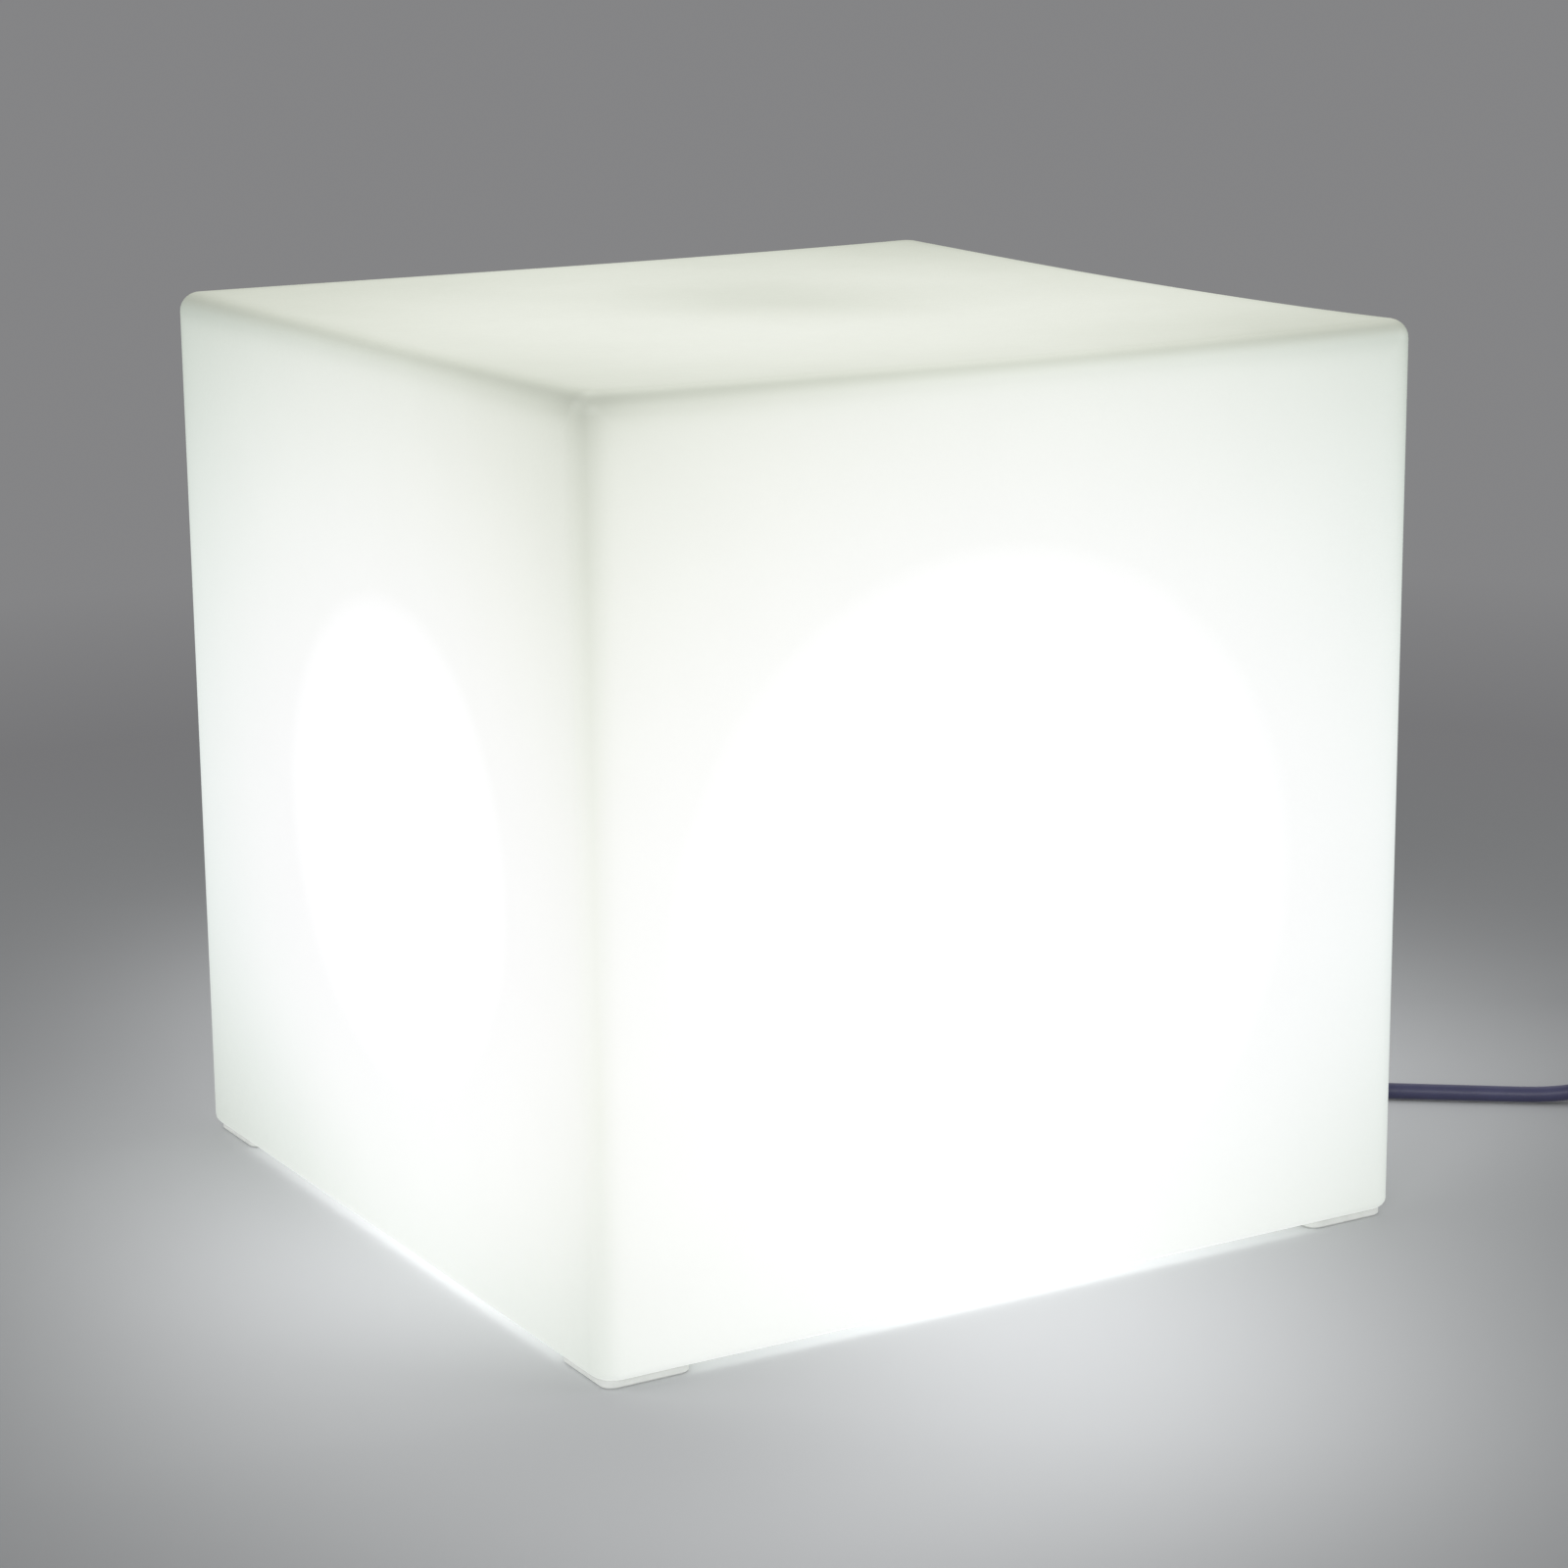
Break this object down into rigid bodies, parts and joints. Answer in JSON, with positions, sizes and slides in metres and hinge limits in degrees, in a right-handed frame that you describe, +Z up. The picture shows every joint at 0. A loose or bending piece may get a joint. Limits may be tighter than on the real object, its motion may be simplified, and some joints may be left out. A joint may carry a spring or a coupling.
{
  "type": "led cube light",
  "caption": "Plug-in light cube: translucent moulded shell on corner feet, bulb and holder on a screwed base cover, corded with an in-line switch.",
  "frame": {"origin": "on the floor under the middle of the cube, at its feet; the cord and what is on it are left out", "axes": "+Z up; +X towards the side where the cord leaves; -Y is the wide front face of the picture"},
  "size_m": [0.6147, 0.3175, 0.3],
  "materials": {
    "diffuser": "translucent satin moulded polyethylene, lit from inside",
    "foot_pad": "grey elastomer pad",
    "brass": "turned brass",
    "cover_plastic": "light grey moulded plastic",
    "seal_rubber": "black foam rubber",
    "screw_steel": "zinc-plated steel",
    "bush_rubber": "dark moulded rubber",
    "cord_sheath": "dark navy sheath, satin",
    "bridge_steel": "galvanised sheet steel",
    "holder_plastic": "white thermoplastic",
    "holder_ceramic": "glazed insulating core",
    "contact_bronze": "spring bronze",
    "live_insulation": "brown insulation",
    "neutral_insulation": "blue insulation",
    "cap_metal": "nickel-plated sheet",
    "cap_glass": "black insulating glass",
    "bulb_plastic": "white bulb housing",
    "bulb_opal": "opal diffuser, lit from inside",
    "sink_aluminium": "pressed aluminium",
    "board_white": "white coated board",
    "board_green": "circuit board",
    "led_phosphor": "yellow phosphor",
    "component_black": "moulded components",
    "switch_plastic": "dark moulded switch housing",
    "rocker_plastic": "dark rocker",
    "plug_plastic": "dark moulded plug",
    "pin_nickel": "nickel-plated brass pins"
  },
  "bodies": {
    "lamp": {"cube_shell": "diffuser", "foot_front_left": "foot_pad", "foot_front_right": "foot_pad", "foot_back_left": "foot_pad", "foot_back_right": "foot_pad", "cover_inserts": "brass", "cover_seal": "seal_rubber", "base_cover": "cover_plastic", "cover_screws": "screw_steel", "cord_bush": "bush_rubber", "inner_cord": "cord_sheath", "cord_clamp": "holder_plastic", "clamp_screws": "screw_steel", "holder_bridge": "bridge_steel", "bridge_screws": "screw_steel", "threaded_nipple": "brass", "nipple_nut": "brass", "holder_cap": "holder_plastic", "holder_core": "holder_ceramic", "holder_terminals": "brass", "terminal_screws": "screw_steel", "centre_contact": "contact_bronze", "holder_skirt": "holder_plastic", "screw_sleeve": "contact_bronze", "live_lead": "live_insulation", "neutral_lead": "neutral_insulation", "lamp_cord": "cord_sheath", "switch_lower": "switch_plastic", "switch_upper": "switch_plastic", "switch_screws": "screw_steel", "switch_sheath_ends": "cord_sheath", "switch_contacts": "contact_bronze", "switch_wires": "neutral_insulation", "switch_cord": "cord_sheath", "cord_coil": "cord_sheath", "plug_cord": "cord_sheath", "plug_relief": "plug_plastic", "plug_body": "plug_plastic", "plug_pins": "pin_nickel", "plug_pin_sleeves": "component_black"},
    "bulb": {"bulb_tip_contact": "cap_metal", "bulb_cap_insulator": "cap_glass", "bulb_cap": "cap_metal", "bulb_housing": "bulb_plastic", "bulb_heat_sink": "sink_aluminium", "bulb_led_board": "board_white", "bulb_leds": "led_phosphor", "bulb_driver_board": "board_green", "bulb_driver_components": "component_black", "bulb_dome": "bulb_opal"},
    "rocker": {"switch_rocker": "rocker_plastic"}
  },
  "joints": [
    {"name": "bulb_turn", "type": "hinge", "parent": "lamp", "child": "bulb", "pos_m": [0, 0, 0.08], "axis": [0, 0, 1], "range_deg": [0, 900]},
    {"name": "switch_rock", "type": "hinge", "parent": "lamp", "child": "rocker", "pos_m": [0.3359, -0.1305, 0.0125], "axis": [-0.6157, -0.788, 0], "range_deg": [0, 22]}
  ]
}
